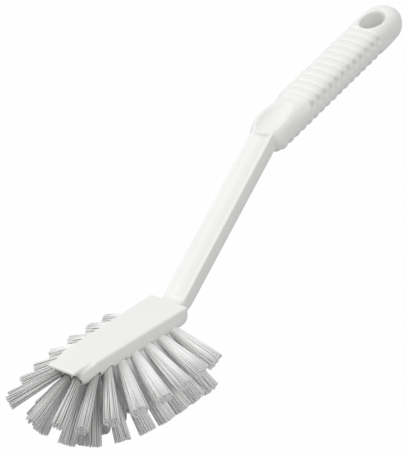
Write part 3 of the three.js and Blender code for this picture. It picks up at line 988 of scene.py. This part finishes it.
def polypropylene(finish):
    """Moulded polypropylene: a milky white with a soft satin gloss from a finely blasted mould."""
    material, tree = new_material("satin_moulded_polypropylene")
    # Blasted mould: a fine grain, drawn at 0.5 mm so that it shows, and a slow change of gloss
    place = add_node(tree, "ShaderNodeTexCoord").outputs["Object"]
    grain = add_node(tree, "ShaderNodeTexNoise", {"Vector": place},
                     {"Scale": per_metre(0.5), "Detail": 2})
    flow, gloss = uneven_gloss(tree, 14, 3, 0.46, 0.56)
    marks = [part * FLOW_SHADE for part in finish.moulding]
    tint = add_node(tree, "ShaderNodeMix", {"Factor": flow},
                    {"A": (*finish.moulding, 1), "B": (*marks, 1)}, data_type="RGBA")
    bump = add_node(tree, "ShaderNodeBump", {"Height": grain.outputs[0]},
                    {"Strength": 0.05, "Distance": 0.1 * MM})
    shader = add_node(tree, "ShaderNodeBsdfPrincipled",
                      {"Base Color": socket(tint.outputs, "Result"), "Roughness": gloss,
                       "Normal": bump.outputs[0]},
                      {"IOR": 1.49, "Subsurface Weight": 0.15, "Subsurface Radius": (1, 1, 1),
                       "Subsurface Scale": 0.8 * MM})
    add_node(tree, "ShaderNodeOutputMaterial", {"Surface": shader.outputs[0]})
    return material


def pbt_filament(finish):
    """Drawn PBT filament: white threads with a silky gloss, some of them duller than others, with painted
    shade darkening the front tufts, most at their roots.
    """
    material, tree = new_material("drawn_pbt_filament")
    shade = add_node(tree, "ShaderNodeAttribute", attribute_name="shade").outputs["Fac"]
    # Drawing marks: slow changes of gloss along a thread, about 3 mm long
    _, gloss = uneven_gloss(tree, 3, 2, 0.36, 0.5)
    # Mixes in the dull colour: random dull filaments, and painted shade on the front tufts and their
    # roots
    tint = add_node(tree, "ShaderNodeMix", {"Factor": shade},
                    {"A": (*finish.filament, 1), "B": (*finish.filament_dull_and_painted_shade, 1)}, data_type="RGBA")
    shader = add_node(tree, "ShaderNodeBsdfPrincipled",
                      {"Base Color": socket(tint.outputs, "Result"), "Roughness": gloss},
                      {"IOR": 1.55, "Sheen Weight": 0.6, "Sheen Roughness": 0.5})
    add_node(tree, "ShaderNodeOutputMaterial", {"Surface": shader.outputs[0]})
    return material


def cut_steel(finish):
    """Cut steel strip: a bright grey with fine marks of the shear across it."""
    material, tree = new_material("cut_steel_strip")
    # Shear marks: a grit of 0.2 mm
    _, gloss = uneven_gloss(tree, 0.2, 3, 0.28, 0.42)
    shader = add_node(tree, "ShaderNodeBsdfPrincipled", {"Roughness": gloss},
                      {"Base Color": (*finish.steel, 1), "Metallic": 1})
    add_node(tree, "ShaderNodeOutputMaterial", {"Surface": shader.outputs[0]})
    return material


def seen_directly(tree):
    """1 for rays from the camera, mirrored and refracted ones too, so that gloss shows the backdrop."""
    path = add_node(tree, "ShaderNodeLightPath").outputs
    seen = path["Is Camera Ray"]
    for kind in ("Is Glossy Ray", "Is Transmission Ray"):
        seen = add_node(tree, "ShaderNodeMath", {0: seen, 1: path[kind]}, operation="MAXIMUM").outputs[0]
    return seen


def white_floor(finish, stage):
    """Matt white paper: the camera sees it as white, with a trace of the brush's shadow."""
    material, tree = new_material("matt_white_paper")
    paper = add_node(tree, "ShaderNodeBsdfDiffuse", sockets={"Color": (*finish.floor, 1)})
    glow = add_node(tree, "ShaderNodeEmission", sockets={"Strength": 1})
    share = add_node(tree, "ShaderNodeMath", {0: seen_directly(tree)}, {1: 1 - stage.floor_shade},
                     operation="MULTIPLY")
    shader = add_node(tree, "ShaderNodeMixShader",
                      {0: share.outputs[0], 1: paper.outputs[0], 2: glow.outputs[0]})
    add_node(tree, "ShaderNodeOutputMaterial", {"Surface": shader.outputs[0]})
    return material


# Operators

# Fineness of the handle's skin, and the passes that even it out
SKIN_VOXEL = 0.49 * MM
SKIN_PASSES = 4
# Places of the lamps, the point they aim at, their width and half the floor's, in metres
KEY_PLACE = (-0.55, 0.75, 1.1)
FILL_PLACE = (-0.35, -1.1, 0.8)
LAMP_AIM = (0, 0, 0.05)
LAMP_SIZE = 1.2
FLOOR_HALF = 20


class POTBRUSH_OT_handle(bpy.types.Operator):
    """Models the moulding: head, lip, neck and ribbed grip with their hollows, as one smooth skin"""

    bl_idname = "potbrush.handle"
    bl_label = "Handle"

    def execute(self, context):
        brush = context.scene.pot_brush
        head, neck, grip = brush.head, brush.neck, brush.grip
        piece = swept("handle_moulding", head_rings(head))
        combine(piece, [swept("lip", lip_rings(head)), swept("neck", neck_rings(head, neck)),
                        swept("grip", grip_rings(head, neck, grip))], "UNION")
        hollows = [dish_cutter(head, neck, grip), hang_hole_cutter(head, neck, grip)]
        combine(piece, hollows + tuft_hole_cutters(head, brush.tufts), "DIFFERENCE")
        combine(piece, [swept("dish_lip", dish_lip_rings(head, neck, grip))], "UNION")
        remesh = piece.modifiers.new("skin", "REMESH")
        remesh.mode = "VOXEL"
        remesh.voxel_size = SKIN_VOXEL
        remesh.use_smooth_shade = True
        soften(piece, "soft_edges", SKIN_PASSES)
        soften_dish(piece, head, neck, grip)
        if not piece.data.polygons:
            raise RuntimeError("the handle has no faces")
        dress(piece, polypropylene(brush.finish))
        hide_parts("handle")
        return {"FINISHED"}


class POTBRUSH_OT_bristles(bpy.types.Operator):
    """Models the tufts: fine filaments that spread out of each hole to a flat cut"""

    bl_idname = "potbrush.bristles"
    bl_label = "Bristles"

    def execute(self, context):
        brush = context.scene.pot_brush
        draw = random.Random(brush.tufts.seed)
        layout = tuft_layout(brush.head, brush.tufts)
        material = pbt_filament(brush.finish)
        for node in ("bristles_rear", "bristles_middle", "bristles_front"):
            low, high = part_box(node)
            own = [tuft for tuft in layout if low.x < tuft.seat.x < high.x]
            if not own:
                raise RuntimeError(f"no tuft stands in {node}")
            layout = [tuft for tuft in layout if tuft not in own]
            piece = bristle_piece(f"filaments_{node.split('_')[1]}", own, brush.tufts, draw)
            dress(piece, material)
            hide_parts(node)
        if layout:
            raise RuntimeError("a tuft stands in no bristle node")
        return {"FINISHED"}


class POTBRUSH_OT_plates(bpy.types.Operator):
    """Gives the staple plates their steel"""

    bl_idname = "potbrush.plates"
    bl_label = "Staple plates"

    def execute(self, context):
        material = cut_steel(context.scene.pot_brush.finish)
        plates = [node for name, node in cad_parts.items() if name.startswith("staple_plate")]
        if not plates:
            raise RuntimeError("the frame has no staple plates")
        for plate in plates:
            paint(plate, material)
        return {"FINISHED"}


class POTBRUSH_OT_stage(bpy.types.Operator):
    """Sets up the pale floor, the soft light and the camera"""

    bl_idname = "potbrush.stage"
    bl_label = "Stage"

    def execute(self, context):
        scene = context.scene
        stage = scene.pot_brush.stage
        self.make_floor(scene, stage)
        self.make_world(scene, stage)
        self.make_lamp(scene, "key", stage.key, KEY_PLACE)
        self.make_lamp(scene, "fill", stage.fill, FILL_PLACE)
        self.make_camera(scene, stage)
        scene.view_settings.view_transform = "Standard"
        return {"FINISHED"}

    def make_floor(self, scene, stage):
        bm = bmesh.new()
        bmesh.ops.create_grid(bm, x_segments=1, y_segments=1, size=FLOOR_HALF)
        floor = as_object(bm, "floor")
        paint(floor, white_floor(scene.pot_brush.finish, stage))

    def make_world(self, scene, stage):
        world = bpy.data.worlds.new("studio")
        world.use_nodes = True
        tree = world.node_tree
        tree.nodes.clear()
        strength = add_node(tree, "ShaderNodeMapRange", {"Value": seen_directly(tree)},
                            {"To Min": stage.sky, "To Max": 1})
        light = add_node(tree, "ShaderNodeBackground", {"Strength": strength.outputs[0]},
                         {"Color": (1, 1, 1, 1)})
        add_node(tree, "ShaderNodeOutputWorld", {"Surface": light.outputs[0]})
        scene.world = world

    def make_lamp(self, scene, name, power, place):
        light = bpy.data.lights.new(name, "AREA")
        light.energy = power
        light.shape = "DISK"
        light.size = LAMP_SIZE
        lamp = bpy.data.objects.new(name, light)
        lamp.location = place
        aim = Vector(LAMP_AIM) - lamp.location
        lamp.rotation_mode = "QUATERNION"
        lamp.rotation_quaternion = aim.to_track_quat("-Z", "Y")
        scene.collection.objects.link(lamp)

    def make_camera(self, scene, stage):
        data = bpy.data.cameras.new("photo_view")
        data.sensor_fit = "AUTO"
        data.lens = stage.focal_pixels / IMAGE_LONG_SIDE * data.sensor_width
        camera = bpy.data.objects.new("photo_view", data)
        camera.location = stage.eye
        camera.rotation_mode = "XYZ"
        camera.rotation_euler = (math.pi / 2 - stage.elevation, 0, stage.azimuth)
        scene.collection.objects.link(camera)
        scene.camera = camera


OPERATORS = (POTBRUSH_OT_handle, POTBRUSH_OT_bristles, POTBRUSH_OT_plates, POTBRUSH_OT_stage)


class POTBRUSH_PT_panel(bpy.types.Panel):
    """Lists the steps and the settings of the brush"""

    bl_idname = "POTBRUSH_PT_panel"
    bl_label = "Pot brush"
    bl_space_type = "VIEW_3D"
    bl_region_type = "UI"
    bl_category = "Pot brush"

    def draw(self, context):
        for operator in OPERATORS:
            self.layout.operator(operator.bl_idname)
        brush = context.scene.pot_brush
        for group in (brush.head, brush.neck, brush.grip, brush.tufts, brush.finish, brush.stage):
            box = self.layout.box()
            for name in group.__annotations__:
                box.prop(group, name)


CLASSES = (HeadSizes, NeckSizes, GripSizes, TuftSizes, Finishes, StageSettings, BrushSettings,
           *OPERATORS, POTBRUSH_PT_panel)


def register():
    for item in CLASSES:
        bpy.utils.register_class(item)
    bpy.types.Scene.pot_brush = PointerProperty(type=BrushSettings)


def unregister():
    del bpy.types.Scene.pot_brush
    for item in reversed(CLASSES):
        bpy.utils.unregister_class(item)


def main():
    register()
    bpy.ops.potbrush.handle()
    bpy.ops.potbrush.bristles()
    bpy.ops.potbrush.plates()
    bpy.ops.potbrush.stage()


if __name__ == "__main__":
    main()
